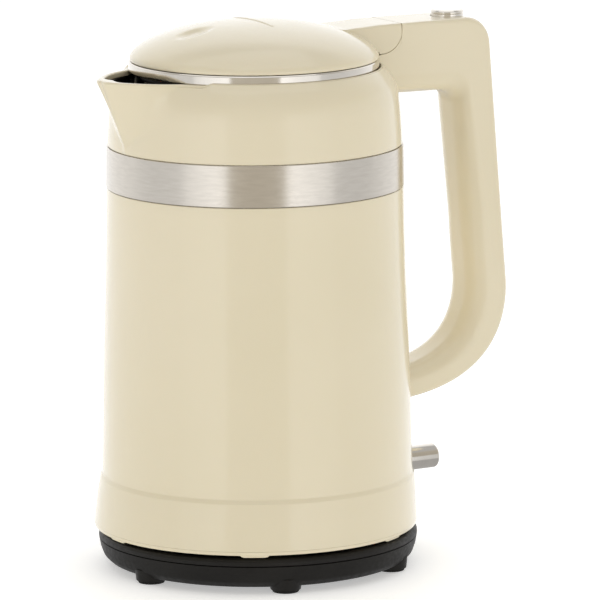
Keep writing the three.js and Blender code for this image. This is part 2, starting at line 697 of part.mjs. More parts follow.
const lidScrewAngles = [90, 210, 330].map(degrees);
const LID_SCREW_CIRCLE = 42;
const dome = (r, radius, rise) => LID_SHOULDER + rise * (1 - (r / radius) ** 2) ** DOME_POWER;

function domeProfile(radius, rise, edge) {
  const stops = [1, 0.97, 0.88, 0.74, 0.52, 0.26];
  const skin = stops.map((t) => [radius * t, dome(radius * t, radius, rise)]);
  return [[0, edge], [radius, edge], ...skin, [0, LID_SHOULDER + rise]];
}

// The arm that joins the dome to the hinge. Its end is an arc about the hinge pin.
function lidArm() {
  const [px, pz] = PIVOT;
  const low = pz - LID_END_RADIUS;
  const bar = slab(outline([
    [38, low - 4], [80, low - 4], [80, HANDLE_TOP], [64, HANDLE_TOP], [40, HANDLE_TOP - 1],
  ]), HANDLE_WIDTH, 1.2);
  const end = rodAlongY(px, pz, LID_END_RADIUS, HANDLE_WIDTH, 48);
  const front = join(block(61.6, px, HANDLE_WIDTH, low, HANDLE_TOP + 1),
    block(30, 62, HANDLE_WIDTH, LID_EDGE, HANDLE_TOP + 1));
  return bar.intersect(join(end.intersect(block(px - 0.1, 90, HANDLE_WIDTH, low - 1, 270)), front));
}

function lidCover() {
  const wall = 2.4;
  const [px, pz] = PIVOT;
  const mark = block(-1.1, 1.1, 19.4, LID_SHOULDER, LID_SHOULDER + DOME_RISE + 0.4);
  const dimple = new THREE.SphereGeometry(1, 12, 6).scale(11, 7.5, 2.2);
  dimple.rotateY(-0.16).translate(-32.5, 0, 264.6);
  let cover = join(turned(domeProfile(LID_RADIUS, DOME_RISE, LID_EDGE)), lidArm());
  cover = cut(cover, turned(domeProfile(LID_RADIUS - wall, DOME_RISE - wall, LID_EDGE - 1)),
    solid(dimple));
  cover = join(cover, mark.intersect(turned(domeProfile(LID_RADIUS, DOME_RISE + 0.4, LID_EDGE))));
  for (const angle of lidScrewAngles) {
    const [x, y] = polar(LID_SCREW_CIRCLE, angle);
    cover = cut(join(cover, rodAt(x, y, 3.4, 239.6, 258.4)), rodAt(x, y, 1.6, 238, 250));
  }
  const lugSlot = block(px - 2.4, px + 14, LUG_HALF + 0.5, pz - 14, pz + 2.1);
  return cut(cover, lugSlot, rodAlongY(px, pz, 1.2, 12.2, 12));
}

function lidInnerPlate() {
  let plate = turned([
    [0, 236.5], [52.4, 236.5], [53.6, 237.8], [53.6, 240], [52.6, 240.2], [52.6, 242.8], [54, 243],
    [54.4, 245], [56.8, 245], [56.8, 247.8], [54.2, 247.8], [51, 245], [51, 239], [0, 239],
  ]);
  for (const angle of lidScrewAngles) {
    const [x, y] = polar(LID_SCREW_CIRCLE, angle);
    plate = cut(plate, rodAt(x, y, 1.7, 230, 245));
  }
  for (const y of [-9, 0, 9]) plate = cut(plate, rodAt(46, y, 2, 230, 245, 8));
  return plate;
}

function addLid(parent) {
  piece('lid_cover', lidCover(), cream, parent);
  const ring = [
    [57.2, RING_LOW], [61, RING_LOW], [61.2, 244.7], [61.2, 247.9], [61, RING_HIGH],
    [57.2, RING_HIGH],
  ];
  piece('lid_trim_ring', turned(ring), chrome, parent);
  piece('lid_inner_plate', lidInnerPlate(), vesselSteel, parent);
  const gasket = [[53, 240.7], [55.6, 240.3], [56.2, 241.5], [55.6, 242.7], [53, 242.3]];
  piece('lid_gasket', turned(gasket), silicone, parent);
  lidScrewAngles.forEach((angle, i) => {
    const mesh = piece(`lid_screw_${i + 1}`, screw(2.8, 1.3, 11), springSteel, parent);
    aroundAxis(mesh, LID_SCREW_CIRCLE, angle, 236.5 - GAP);
  });
}

// ---------- Assembly ----------

const kettle = new THREE.Group();
kettle.position.x = AXIS_X;
addPowerBase(kettle);

const socket = [
  [17.8, 21], [27.4, 21], [27.4, 40.2], [0, 40.2], [0, 37.4], [17.8, 37.4],
];
piece('cordless_socket', turned(socket, 28), blackPlastic, kettle);
const socketContact = [[3.1, 25], [3.8, 25], [3.8, 36.8], [3.1, 36.8]];
piece('socket_contact', turned(socketContact, 12), brass, kettle);

addKettleBody(kettle);
addInnards(kettle);
addLever(kettle);
addHandle(kettle);
addLid(kettle);

const group = new THREE.Group();
group.add(kettle);

export default group;
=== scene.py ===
"""A cream double-wall electric kettle on its power base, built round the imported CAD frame.

Sizes are millimetres, measured from the kettle's upright axis and from the table. The functions
that make a mesh turn them into metres in the row frame.
"""

import json
import math

import bmesh
import bpy
from mathutils import Matrix, Vector


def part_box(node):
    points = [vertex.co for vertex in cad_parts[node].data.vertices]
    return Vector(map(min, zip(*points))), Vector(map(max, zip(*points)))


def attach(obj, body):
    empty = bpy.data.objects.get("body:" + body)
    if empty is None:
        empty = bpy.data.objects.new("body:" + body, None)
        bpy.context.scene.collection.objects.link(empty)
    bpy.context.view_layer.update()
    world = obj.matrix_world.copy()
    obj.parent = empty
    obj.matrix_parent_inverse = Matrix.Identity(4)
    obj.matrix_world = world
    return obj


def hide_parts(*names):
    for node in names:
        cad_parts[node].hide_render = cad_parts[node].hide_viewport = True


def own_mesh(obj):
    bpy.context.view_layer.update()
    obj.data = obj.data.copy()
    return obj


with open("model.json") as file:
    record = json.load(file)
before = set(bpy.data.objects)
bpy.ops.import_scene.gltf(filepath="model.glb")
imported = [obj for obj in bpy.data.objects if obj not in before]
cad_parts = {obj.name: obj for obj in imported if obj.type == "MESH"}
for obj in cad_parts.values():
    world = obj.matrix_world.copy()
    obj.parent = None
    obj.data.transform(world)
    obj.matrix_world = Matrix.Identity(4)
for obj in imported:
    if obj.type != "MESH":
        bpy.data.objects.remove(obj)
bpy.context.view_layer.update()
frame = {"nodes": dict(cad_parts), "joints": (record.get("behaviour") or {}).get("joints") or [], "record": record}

MM = 0.001
TAU = 2 * math.pi
JOINTS = {joint["name"]: joint for joint in frame["joints"]}
AXIS_X = JOINTS["kettle_turn"]["pos_m"][0]


def in_mm(node):
    """A CAD node's box in millimetres from the kettle's axis, as low and high corners."""
    low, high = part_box(node)
    shift = Vector((AXIS_X, 0, 0))
    return (low - shift) / MM, (high - shift) / MM


def joint_point(name):
    """The X and Z of a joint, in millimetres."""
    x, _, z = JOINTS[name]["pos_m"]
    return (x - AXIS_X) / MM, z / MM


# Kettle walls
SHELL_LOW = in_mm("outer_shell")[0].z
SHELL_TOP = 243.9
MOUTH_RADIUS = 58.9
COLLAR = 1.1                      # height of the rim's collar above the shell, away from the spout
BEAD, SPOUT_BEAD = 0.35, 1.2      # roundness of the rim's edge, away from the spout and on it
SKIRT_TOP = 46.6
SKIRT_LEAN = 0.05
TABS = 6
TAB_HALF, TAB_RADIUS = 7.5, 77
BAND_LOW, BAND_HIGH = (corner.z for corner in in_mm("steel_band"))

# The spout: where it leaves the wall, how its section opens upwards, its rim, and the channel
# inside it. Angles are in degrees, and those that end a stretch run from the spout's middle.
SPOUT_FOOT = 209
SPOUT_START = 210
SPOUT_REACH = -in_mm("outer_shell")[0].x
SPOUT_REACH_LOW = 71.3
FLANK_LOW, FLANK_HIGH = 75, 43
NOSE_LOW, NOSE_HIGH = 1.5, 8
LIP_SHARE = 0.18
SWELL = 4.5
SWELL_END = 27
RIM_END = 37
RIM_LIFT = 0.01
RIM_START = 54.0
RIM_TIP = SHELL_TOP + RIM_LIFT * (SPOUT_REACH - RIM_START)
CHANNEL_LOW = 212
CHANNEL_OUTER, CHANNEL_INNER = 2.3, 3.6
NOTCH_LOW = 214

# Handle: it grows out of the wall at ROOT, and its head is hollowed by CUP for the lid's arm.
HANDLE_REACH, HALF_WIDTH, HANDLE_TOP = in_mm("handle_shell")[1]
ROOT = 61.4
CUP = 11.7
HEAD_CORNER = 13
GRIP_ROUND = 11.5
GRIP_EDGE = 3.2
GRIP_LOW = 128
STRIP_HALF = 10.8
STRIP_DEPTH = 1.6

# Lid
LID_EDGE = 248.9
LID_SHOULDER = 250.0
LID_RADIUS = in_mm("lid_cover")[1].y
DOME_RISE = 17.6
DOME_POWER = 0.625
ARM_START = 34
ARM_ROUND = 11.4
ARM_END = 11.07                   # how far past the hinge's axis the arm goes
PIVOT_X, PIVOT_Z = joint_point("lid_hinge")

# Lever and button
LEVER_Z = joint_point("lever_press")[1]
LEVER_DROP = 0.5
LEVER_TIP = in_mm("power_lever")[1].x
LEVER_RADIUS = 6.0
BUTTON_LOW, BUTTON_HIGH = in_mm("release_button")
BUTTON_X = (BUTTON_LOW.x + BUTTON_HIGH.x) / 2
BUTTON_RADIUS = 8
BUTTON_DROP = 0.7


# ---------- Small maths ----------

def lerp(a, b, t):
    return a + (b - a) * t


def clamp(t):
    return max(0.0, min(1.0, t))


def smooth(t):
    t = clamp(t)
    return t * t * (3 - 2 * t)


def soft_max(a, b, blend):
    """The larger of two values, with the crossing rounded over `blend`."""
    if blend <= 0:
        return max(a, b)
    h = max(blend - abs(a - b), 0) / blend
    return max(a, b) + h * h * blend / 4


def eased(corners, closed=True, steps=5):
    """A line of (u, v, radius) corners with each corner rounded to its radius."""
    out, count = [], len(corners)
    for i, (u, v, radius) in enumerate(corners):
        here = Vector((u, v))
        if radius <= 0 or (not closed and i in (0, count - 1)):
            out.append((u, v))
            continue
        back = Vector(corners[i - 1][:2]) - here
        on = Vector(corners[(i + 1) % count][:2]) - here
        half = max(back.angle(on) / 2, 1e-4)
        reach = min(radius / max(math.tan(half), 1e-6), 0.46 * back.length, 0.46 * on.length)
        start, end = here + back.normalized() * reach, here + on.normalized() * reach
        for k in range(steps + 1):
            t = k / steps
            out.append(tuple(start * (1 - t) ** 2 + here * 2 * t * (1 - t) + end * t * t))
    return out


def flowing(points, steps=6):
    """A smooth line through every point."""
    out = []
    ends = [tuple(2 * a - b for a, b in zip(points[0], points[1]))]
    tail = [tuple(2 * a - b for a, b in zip(points[-1], points[-2]))]
    p = [Vector(q) for q in ends + list(points) + tail]
    for i in range(1, len(p) - 2):
        for k in range(steps):
            t = k / steps
            out.append(tuple(0.5 * (2 * p[i] + (p[i + 1] - p[i - 1]) * t
                                    + (2 * p[i - 1] - 5 * p[i] + 4 * p[i + 1] - p[i + 2]) * t * t
                                    + (3 * p[i] - p[i - 1] - 3 * p[i + 1] + p[i + 2]) * t ** 3)))
    return out + [tuple(points[-1])]


def bezier(a, b, c, d, steps):
    """Points along a cubic curve from a to d."""
    points = []
    for k in range(steps + 1):
        t = k / steps
        w = ((1 - t) ** 3, 3 * t * (1 - t) ** 2, 3 * t * t * (1 - t), t ** 3)
        points.append(tuple(sum(wi * q[j] for wi, q in zip(w, (a, b, c, d))) for j in (0, 1)))
    return points


def straight(a, b, steps):
    """Evenly spaced points from a to b, both included."""
    return [(lerp(a[0], b[0], k / steps), lerp(a[1], b[1], k / steps)) for k in range(steps + 1)]


def arc(cx, cy, radius, start, end, steps):
    """Points round a circle from one angle to another, in degrees."""
    turns = [math.radians(lerp(start, end, k / steps)) for k in range(steps + 1)]
    return [(cx + radius * math.cos(a), cy + radius * math.sin(a)) for a in turns]


def bend(a, b, c, steps):
    """A rounded corner from a to c with its corner at b."""
    points = []
    for k in range(steps + 1):
        t = k / steps
        points.append(tuple(p * (1 - t) ** 2 + q * 2 * t * (1 - t) + r * t * t
                            for p, q, r in zip(a, b, c)))
    return points


def divided(points, longest):
    """The same line with no step longer than `longest`."""
    out = [points[0]]
    for a, b in zip(points, points[1:]):
        count = max(1, math.ceil(math.dist(a, b) / longest))
        out += [tuple(lerp(p, q, k / count) for p, q in zip(a, b)) for k in range(1, count + 1)]
    return out


# ---------- Mesh making ----------

def loft(rings, closed_path=False):
    """Faces between rings of equally many points, from the last ring back to the first if closed."""
    count = len(rings[0])
    points = [p for ring in rings for p in ring]
    faces = []
    for k in range(len(rings) if closed_path else len(rings) - 1):
        a0, b0 = k * count, (k + 1) % len(rings) * count
        for i in range(count):
            j = (i + 1) % count
            faces.append((a0 + i, a0 + j, b0 + j, b0 + i))
    if not closed_path:
        faces.append(tuple(reversed(range(count))))
        faces.append(tuple((len(rings) - 1) * count + i for i in range(count)))
    return points, faces


def lathe(profile, sides=160, centre=(0, 0), lean=None):
    """A closed profile of (radius, height) turned about an upright line."""
    rings = []
    for k in range(sides):
        c, s = math.cos(TAU * k / sides), math.sin(TAU * k / sides)
        ring = [(centre[0] + r * c, centre[1] + r * s, z) for r, z in profile]
        rings.append([lean(p) for p in ring] if lean else ring)
    return loft(rings, closed_path=True)


def rod(radius, low, high, sides=40, centre=(0, 0)):
    """A plain upright cylinder, for cutting holes."""
    return lathe([(0, low), (radius, low), (radius, high), (0, high)], sides, centre)


def along_x(parts, height):
    """A turned shape laid down so that its axis points along X at that height."""
    points, faces = parts
    return [(z, y, height - x) for x, y, z in points], faces


def soften(data, sharp):
    """Smooth shading, but for the edges sharper than that many degrees."""
    data.polygons.foreach_set("use_smooth", [True] * len(data.polygons))
    data.set_sharp_from_angle(angle=math.radians(sharp))


def make(name, parts, sharp=35):
    """One mesh object from several lists of points and faces, smooth but for its sharp edges."""
    points, faces = [], []
    for some_points, some_faces in parts:
        start = len(points)
        points += [(AXIS_X + x * MM, y * MM, z * MM) for x, y, z in some_points]
        faces += [tuple(start + i for i in face) for face in some_faces]
    data = bpy.data.meshes.new(name)
    data.from_pydata(points, [], faces)
    work = bmesh.new()
    work.from_mesh(data)
    bmesh.ops.remove_doubles(work, verts=work.verts, dist=2e-6)
    bmesh.ops.dissolve_degenerate(work, edges=work.edges, dist=1e-6)
    bmesh.ops.recalc_face_normals(work, faces=work.faces)
    work.to_mesh(data)
    work.free()
    soften(data, sharp)
    made = bpy.data.objects.new(name, data)
    bpy.context.scene.collection.objects.link(made)
    return made


def carve(target, *cutters, sharp=35):
    """Cuts holes in a piece."""
    for cutter in cutters:
        cut = target.modifiers.new("cut", "BOOLEAN")
        cut.operation, cut.object, cut.solver = "DIFFERENCE", cutter, "EXACT"
        bpy.context.view_layer.update()
        graph = bpy.context.evaluated_depsgraph_get()
        data = bpy.data.meshes.new_from_object(target.evaluated_get(graph))
        target.modifiers.clear()
        target.data = data
        bpy.data.objects.remove(cutter)
    soften(target.data, sharp)
    return target


def settle(piece, body, material, slot, *nodes):
    """The piece gets its material, rides on its body and stands for its CAD nodes."""
    piece.data.materials.clear()
    piece.data.materials.append(material)
    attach(piece, body)
    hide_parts(*nodes)
    return piece


# ---------- Materials ----------

def linear(*srgb):
    """A colour as it looks on a screen, 0 to 255, for a shader."""
    def one(c):
        c /= 255
        return c / 12.92 if c <= 0.04045 else ((c + 0.055) / 1.055) ** 2.4
    return (*(one(c) for c in srgb), 1)


def lighter(colour, by):
    """The colour for a shader, a little lighter."""
    return linear(*(min(255, c + by) for c in colour))


def add_node(tree, kind, **settings):
    """A new node with its settings."""
    made = tree.nodes.new(kind)
    for key, value in settings.items():
        setattr(made, key, value)
    return made


class Nodes:
    """A short way to build a material's nodes."""

    def __init__(self, name):
        self.material = bpy.data.materials.new(name)
        self.material.use_nodes = True
        self.tree = self.material.node_tree
        self.shader = self.tree.nodes["Principled BSDF"]

    def add(self, kind, inputs=None, **settings):
        node = add_node(self.tree, kind, **settings)
        for key, value in (inputs or {}).items():
            self.put(node.inputs[key], value)
        return node

    def put(self, socket, value):
        """Links an output to a socket, or sets a constant on it."""
        if isinstance(value, bpy.types.NodeSocket):
            self.tree.links.new(value, socket)
        else:
            socket.default_value = value

    def set(self, **values):
        for key, value in values.items():
            self.put(self.shader.inputs[key.replace("_", " ")], value)

    def place(self):
        return self.add("ShaderNodeTexCoord").outputs["Object"]

    def noise(self, scale, detail=3, where=None):
        node = self.add("ShaderNodeTexNoise", {"Scale": scale, "Detail": detail})
        self.put(node.inputs["Vector"], where or self.place())
        return node.outputs["Fac"]

    def span(self, value, low, high, start=0.3, end=0.7):
        """A value between start and end moved to between low and high."""
        node = self.add("ShaderNodeMapRange", {"Value": value, "From Min": start,
                                               "From Max": end, "To Min": low, "To Max": high})
        return node.outputs["Result"]

    def tint(self, value, dark, light):
        """A colour between two, chosen by a value from 0 to 1."""
        node = self.add("ShaderNodeMix", data_type="RGBA")
        self.put(node.inputs["Factor"], value)
        self.put(node.inputs["A"], dark)
        self.put(node.inputs["B"], light)
        return node.outputs["Result"]

    def bump(self, height, distance):
        node = self.add("ShaderNodeBump", {"Height": height, "Distance": distance})
        return node.outputs["Normal"]


def cream_material():
    """Glossy moulded plastic: faint flow marks in its colour and a slight orange peel."""
    m = Nodes("cream_gloss")
    cloud = m.span(m.noise(9, 4), 0, 1)
    m.set(Base_Color=m.tint(cloud, linear(233, 223, 195), linear(237, 227, 201)),
          Roughness=m.span(m.noise(60, 2), 0.17, 0.24),
          Normal=m.bump(m.noise(240, 2), 0.00004))
    m.set(IOR=1.5, Specular_IOR_Level=0.35, Coat_Weight=0.5, Coat_Roughness=0.03,
          Subsurface_Weight=0.04, Subsurface_Scale=0.002, Subsurface_Radius=(1.0, 0.7, 0.35))
    return m.material


def metal_material(name, colour, low, high, wear=70):
    """Plain metal whose roughness varies between two values."""
    m = Nodes(name)
    m.set(Base_Color=m.tint(m.span(m.noise(wear), 0, 1), linear(*colour), lighter(colour, 10)),
          Roughness=m.span(m.noise(wear * 3, 4), low, high),
          Normal=m.bump(m.noise(900, 2), 0.000006))
    m.set(Metallic=1.0)
    return m.material


def brushed_material(name, colour, low, high, depth, metallic=1.0):
    """Metal with fine scratches that run round the kettle."""
    m = Nodes(name)
    parts = m.add("ShaderNodeSeparateXYZ", {"Vector": m.place()})
    from_axis = m.add("ShaderNodeMath", {0: parts.outputs["X"], 1: AXIS_X}, operation="SUBTRACT")
    turn = m.add("ShaderNodeMath", {0: parts.outputs["Y"], 1: from_axis.outputs[0]},
                 operation="ARCTAN2")
    run = m.add("ShaderNodeMath", {0: turn.outputs[0], 1: 0.012}, operation="MULTIPLY")
    line = m.add("ShaderNodeCombineXYZ", {"X": run.outputs[0], "Z": parts.outputs["Z"]})
    scratch = m.noise(2600, 3, line.outputs["Vector"])
    streak = m.noise(700, 2, line.outputs["Vector"])
    m.set(Base_Color=m.tint(m.span(streak, 0, 1), linear(*colour), lighter(colour, 7)),
          Roughness=m.span(scratch, low, high),
          Normal=m.bump(scratch, depth))
    m.set(Metallic=metallic, Anisotropic=0.55)
    return m.material


def moulded_material(name, colour, low, high, grain=1500, depth=0.00003, shine=0.4):
    """Matte plastic or rubber with a fine spark-eroded grain."""
    m = Nodes(name)
    m.set(Base_Color=m.tint(m.span(m.noise(40, 4), 0, 1), linear(*colour), lighter(colour, 9)),
          Roughness=m.span(m.noise(grain / 3, 2), low, high),
          Normal=m.bump(m.noise(grain, 2), depth))
    m.set(Specular_IOR_Level=shine)
    return m.material


def mesh_material():
    """Woven steel gauze: dark holes in a fine grid."""
    m = Nodes("steel_gauze")
    parts = m.add("ShaderNodeSeparateXYZ", {"Vector": m.place()})
    waves = [m.add("ShaderNodeMath", {0: m.add(
        "ShaderNodeMath", {0: parts.outputs[axis], 1: 5200.0}, operation="MULTIPLY").outputs[0]},
        operation="SINE").outputs[0] for axis in ("Y", "Z")]
    weave = m.add("ShaderNodeMath", {0: waves[0], 1: waves[1]}, operation="MAXIMUM").outputs[0]
    m.set(Base_Color=m.tint(m.span(weave, 0, 1, 0.1, 0.6), linear(40, 40, 42),
                            linear(178, 178, 176)),
          Roughness=m.span(m.noise(200), 0.3, 0.45), Normal=m.bump(weave, 0.0002))
    m.set(Metallic=0.8)
    return m.material


MATERIALS = {
    "cream_plastic": cream_material(),
    "chrome": metal_material("bright_chrome", (216, 211, 203), 0.08, 0.14),
    "brushed_band": brushed_material("band_steel", (210, 204, 195), 0.14, 0.22, 0.000006),
    "stainless": brushed_material("satin_steel", (205, 204, 200), 0.24, 0.36, 0.000006),
    "black_plastic": moulded_material("black_grain", (21, 19, 16), 0.42, 0.58, shine=0.3),
    "grey_plastic": moulded_material("grey_grain", (112, 110, 106), 0.45, 0.6),
    "rubber": moulded_material("black_rubber", (28, 28, 27), 0.72, 0.88, 900, 0.00005),
    "silicone": moulded_material("pale_silicone", (212, 207, 198), 0.5, 0.65, 500, 0.00002),
    "brass": metal_material("contact_brass", (186, 152, 84), 0.2, 0.34),
    "aluminium": metal_material("cast_aluminium", (168, 170, 172), 0.38, 0.55, 300),
    "spring_steel": metal_material("plain_steel", (150, 150, 148), 0.25, 0.4, 200),
}
DARK_SEAL = moulded_material("dark_silicone", (46, 45, 44), 0.5, 0.65, 500, 0.00002)
VESSEL_STEEL = brushed_material("vessel_steel", (236, 234, 229), 0.38, 0.5, 0.000006, 0.7)
MADE_FOR = {"filter_mesh": mesh_material(), "mouth_seal": DARK_SEAL}
SLOT_OF = {s["node"]: s["material_slot"] for s in frame["record"]["subparts"]}


def dress_frame():
    """Every CAD node gets the material of its slot, smooth but for its sharp edges."""
    for name, node in frame["nodes"].items():
        node.data.materials.clear()
        node.data.materials.append(MADE_FOR.get(name) or MATERIALS[SLOT_OF[name]])
        soften(node.data, 32)


# ---------- Kettle walls ----------

def spout_rise(z):
    """0 where the spout leaves the wall and 1 at its tip."""
    return (z - SPOUT_START) / (RIM_TIP - SPOUT_START)


def spout_shape(z, inset):
    """Nose centre, nose radius, and the angle and distance of the flanks at one height."""
    rise = spout_rise(z)
    opening = math.pi / 2 - math.radians(lerp(FLANK_LOW, FLANK_HIGH, rise))
    ridge, reach = lerp(NOSE_LOW, NOSE_HIGH, rise), lerp(SPOUT_REACH_LOW, SPOUT_REACH, rise)
    straight_wall = (reach - ridge) * math.cos(opening) + ridge
    lip = LIP_SHARE * (reach - straight_wall) if inset > 0 else 0
    tip, flank = reach - inset - lip, straight_wall - inset
    centre = (tip - flank) / (1 - math.cos(opening))
    return centre, tip - centre, opening, flank


def spout_radius(turn, z, inset=0.0):
    """How far the spout's wall is from the axis, `turn` away from the spout's middle."""
    centre, nose, opening, flank = spout_shape(z, inset)
    turn = abs(turn)
    edge = math.atan2(nose * math.sin(opening), centre + nose * math.cos(opening))
    along = clamp(turn / math.radians(SWELL_END))
    swell = SWELL * clamp(spout_rise(z)) ** 2 * math.sin(math.pi * along)
    if turn <= edge:
        side = centre * math.sin(turn)
        return centre * math.cos(turn) + math.sqrt(max(nose * nose - side * side, 0)) + swell
    return flank / max(math.cos(turn - opening), 0.2) + swell if turn < opening else flank


def channel_edge(z, inset):
    """The angle from the spout's middle at which its flank runs into the kettle's wall."""
    wall = min(70, lerp(70, 60, (z - 230) / 14)) - inset
    *_, opening, flank = spout_shape(z, inset)
    return max(opening - math.acos(min(1, flank / wall)), math.radians(1))


def at_turn(turn, radius, z):
    """The point at an angle from the spout's middle, a distance from the axis and a height."""
    return -radius * math.cos(turn), radius * math.sin(turn), z


def rim_height(turn, radius, drop=0.0):
    """The rim rises a little towards the spout's tip."""
    return SHELL_TOP - drop + RIM_LIFT * max(0.0, radius * math.cos(turn) - RIM_START)


def columns():
    """Angles from the spout's middle, close together at its tip and along its creases."""
    fine, middling, wide = 0.35, 0.75, 2.25
    half, angle = [], 0.0
    while angle < 180 - 1e-6:
        half.append(angle)
        creased = angle < 5 or RIM_END - 0.5 < angle < RIM_END + 5.5
        angle += fine if creased else middling if angle < RIM_END + 11 else wide
    angles = half + [180.0] + [-a for a in reversed(half) if a > 0]
    return [math.radians(a) for a in angles]


def lean_skirt(point):
    """The skirt's foot is set towards the spout."""
    x, y, z = point
    return x - SKIRT_LEAN * max(0.0, SKIRT_TOP - z), y, z


def shell_outside():
    """The shell's outside line from its foot to its top, with a groove for the band."""
    low = eased([
        (79, SHELL_LOW, 0), (78, 35, 60), (76.8, 44.4, 1.5), (75.9, 46.4, 1.5), (75.6, 57, 300),
        (74.3, 110, 2500), (73, 145, 2500), (72.1, BAND_LOW - 0.3, 0.35),
        (71.1, BAND_LOW - 0.3, 0), (70.8, BAND_HIGH + 0.3, 0), (71.6, BAND_HIGH + 0.3, 0.35),
        (71.4, 212, 0)], closed=False)
    high = flowing([(71.4, 212), (70.6, 224), (70, 229.4), (68.6, 234.8), (66.2, 239.4),
                    (63.4, 242.7), (61.9, SHELL_TOP)], 8)
    return divided(low[:-1], 6) + divided(high, 1.6)


SHELL_INSIDE = [(59.2, 241), (64.2, 237), (67.4, 228), (68.2, 208), (70.4, 145), (72.8, 60),
                (73.3, SKIRT_TOP), (75.4, 36), (76.4, SHELL_LOW)]


def shell_column(turn, outside, inside):
    """One upright line of the shell, up its outside, over the rim and down its inside."""
    rim = soft_max(outside[-1][0], spout_radius(turn, RIM_TIP), 3)
    on_spout = 1 - smooth((math.degrees(abs(turn)) - RIM_END) / 5)
    lift = lerp(COLLAR, rim_height(turn, rim) - SHELL_TOP, on_spout)
    bead = lerp(BEAD, SPOUT_BEAD, on_spout)
    line = []
    for r, z in outside:
        rise = clamp((z - SPOUT_FOOT) / (SHELL_TOP - SPOUT_FOOT))
        height = min(z + lift * rise, SHELL_TOP + lift - bead)
        if z > SPOUT_FOOT:
            r = soft_max(r, spout_radius(turn, height), 3.5 * smooth((z - SPOUT_FOOT) / 30))
        line.append((r, height))
    r, z = line[-1][0], SHELL_TOP + lift
    inner = soft_max(MOUTH_RADIUS, spout_radius(turn, z, 3), 1)
    lip = lerp(r - 0.75, inner, on_spout)
    line += bend((r, z - bead), (r, z), (r - bead, z), 6)[1:]
    line += bend((lip + 0.96 * bead, z), (lip, z), (lip, z - bead), 6)
    step = lerp(SHELL_TOP - 0.8, z - 2.2, on_spout)
    line += [(lip, step), (inner - 0.01, step - 0.3)]
    for r, z in inside:
        if z > SPOUT_FOOT:
            r = soft_max(r, spout_radius(turn, z, 2), 1)
        line.append((r, z))
    return [at_turn(turn, r, z) for r, z in line]


def build_shell():
    """The cream wall with its skirt, spout and rim, and a slot for the lever."""
    outside = shell_outside()
    inside = divided(SHELL_INSIDE, 4)
    rings = [[lean_skirt(p) for p in shell_column(turn, outside, inside)] for turn in columns()]
    shell = make("outer_shell_skin", [loft(rings, closed_path=True)], 40)
    hole = rod(LEVER_RADIUS + 0.9, 64, 90, 48)
    holes = [make("lever_hole", [along_x(hole, LEVER_Z - drop)]) for drop in (0.3, 2.8)]
    carve(shell, *holes, sharp=40)
    settle(shell, "kettle", MATERIALS["cream_plastic"], "cream_plastic", "outer_shell")


def channel_ring(level):
    """The channel's section at one height, along its outer face and back along its inner one."""
    ring = []
    for inset, way in ((CHANNEL_OUTER, 1), (CHANNEL_INNER, -1)):
        z = level if inset == CHANNEL_OUTER else max(level, NOTCH_LOW)
        rise = clamp((z - CHANNEL_LOW) / (SHELL_TOP - CHANNEL_LOW))
        for i in range(41):
            t = way * lerp(-1, 1, i / 40)
            turn = math.copysign(abs(t) ** 1.6, t) * channel_edge(z, inset)
            lift = rim_height(turn, spout_radius(turn, z, inset), 3) - SHELL_TOP
            top = z + lift * rise
            ring.append(at_turn(turn, spout_radius(turn, top, inset), top))
    return ring


def build_liner():
    """The channel from the vessel's notch to the tip of the spout, black as painted shade and painted dark
    reflection in place of the spout's steel inside.
    """
    rings = [channel_ring(lerp(CHANNEL_LOW, SHELL_TOP, k / 24)) for k in range(25)]
    liner = make("spout_channel_painted_shade", [loft(rings)], 50)
    # Black plastic here is painted shade and painted dark reflection: the spout's inside is steel.
    settle(liner, "kettle", MATERIALS["black_plastic"], "black_plastic", "spout_liner")


def build_band():
    """The brushed band in its groove."""
    profile = eased([(71.3, BAND_LOW, 0), (72.4, BAND_LOW, 0.25), (72.0, BAND_HIGH, 0.25),
                     (71.1, BAND_HIGH, 0)])
    band = make("band_skin", [lathe(profile, 240)])
    settle(band, "kettle", MATERIALS["brushed_band"], "brushed_band", "steel_band")


def build_foot_ring():
    """The lip under the skirt and its low tabs."""
    low = in_mm("foot_ring")[0].z
    top = SHELL_LOW - 0.1
    ring = lathe(eased([(75.4, 20, 0), (78.6, 20, 0.7), (78.9, top, 0.1), (75.4, top, 0)]),
                 240, lean=lean_skirt)
    parts = [ring]
    for k in range(TABS):
        middle = TAU * k / TABS
        rings = []
        for i in range(13):
            turn = middle + lerp(-1, 1, i / 12) * TAB_HALF / TAB_RADIUS
            edge = min(1, (6 - abs(i - 6)) / 1.5)
            bottom = lerp(20.1, low, edge ** 0.5)
            tab = eased([(75.2, 20.6, 0), (75.2, bottom, 0.2), (77.2, bottom, 0.3), (77.4, 20.6, 0)])
            rings.append([(r * math.cos(turn) - SKIRT_LEAN * 25, r * math.sin(turn), z)
                          for r, z in tab])
        parts.append(loft(rings))
    piece = make("foot_ring_skin", parts)
    settle(piece, "kettle", MATERIALS["cream_plastic"], "cream_plastic", "foot_ring")


# ---------- Handle ----------

